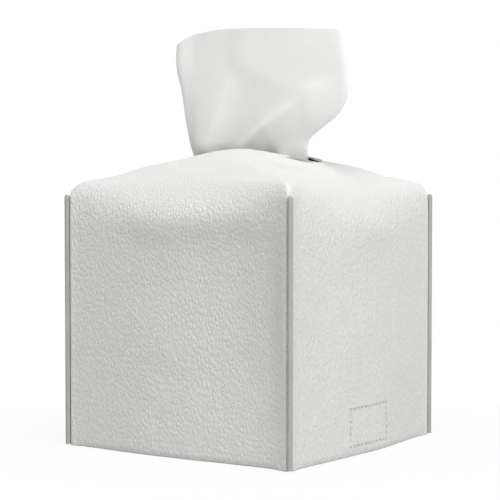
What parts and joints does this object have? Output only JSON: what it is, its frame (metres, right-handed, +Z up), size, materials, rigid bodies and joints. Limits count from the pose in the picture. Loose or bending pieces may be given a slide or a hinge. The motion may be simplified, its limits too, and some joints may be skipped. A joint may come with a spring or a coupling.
{
  "type": "tissue box cover",
  "caption": "Soft white leather cover for a cube of facial tissues: draped top with a slot, grey piping at its corners, and a hook-and-loop belt under the carton that keeps the refill in.",
  "frame": {"origin": "on the table, under the middle of the cover", "axes": "+Z up, -Y towards the front panel, +X towards the panel that the belt is sewn to; the slot runs along X"},
  "size_m": [0.1308, 0.1308, 0.2033],
  "materials": {
    "leather": "satin",
    "belt_leather": "satin",
    "piping": "matte",
    "thread": "matte",
    "hook_tape": "matte",
    "loop_tape": "matte",
    "carton_board": "matte",
    "tissue": "matte"
  },
  "bodies": {
    "cover": {"leather_cover": "leather", "corner_piping_front_right": "piping", "corner_piping_back_right": "piping", "corner_piping_back_left": "piping", "corner_piping_front_left": "piping", "corner_thread_front_right": "thread", "corner_thread_back_right": "thread", "corner_thread_back_left": "thread", "corner_thread_front_left": "thread", "belt_root": "belt_leather", "belt_root_thread": "thread", "closing_tab": "belt_leather", "closing_tab_thread": "thread", "loop_patch": "loop_tape", "loop_patch_thread": "thread", "carton_wall": "carton_board", "carton_bottom": "carton_board", "carton_top": "carton_board", "tissue_stack": "tissue"},
    "belt": {"belt_strap": "belt_leather", "hook_patch": "hook_tape", "hook_patch_thread": "thread"},
    "sheet": {"pulled_sheet": "tissue"}
  },
  "joints": [
    {"name": "belt_open", "type": "hinge", "parent": "cover", "child": "belt", "pos_m": [0.0612, 0, 0.0011], "axis": [0, -1, 0], "range_deg": [0, 90]},
    {"name": "tissue_pull", "type": "slide", "parent": "cover", "child": "sheet", "axis": [0, 0, 1], "range_m": [0, 0.1]}
  ]
}
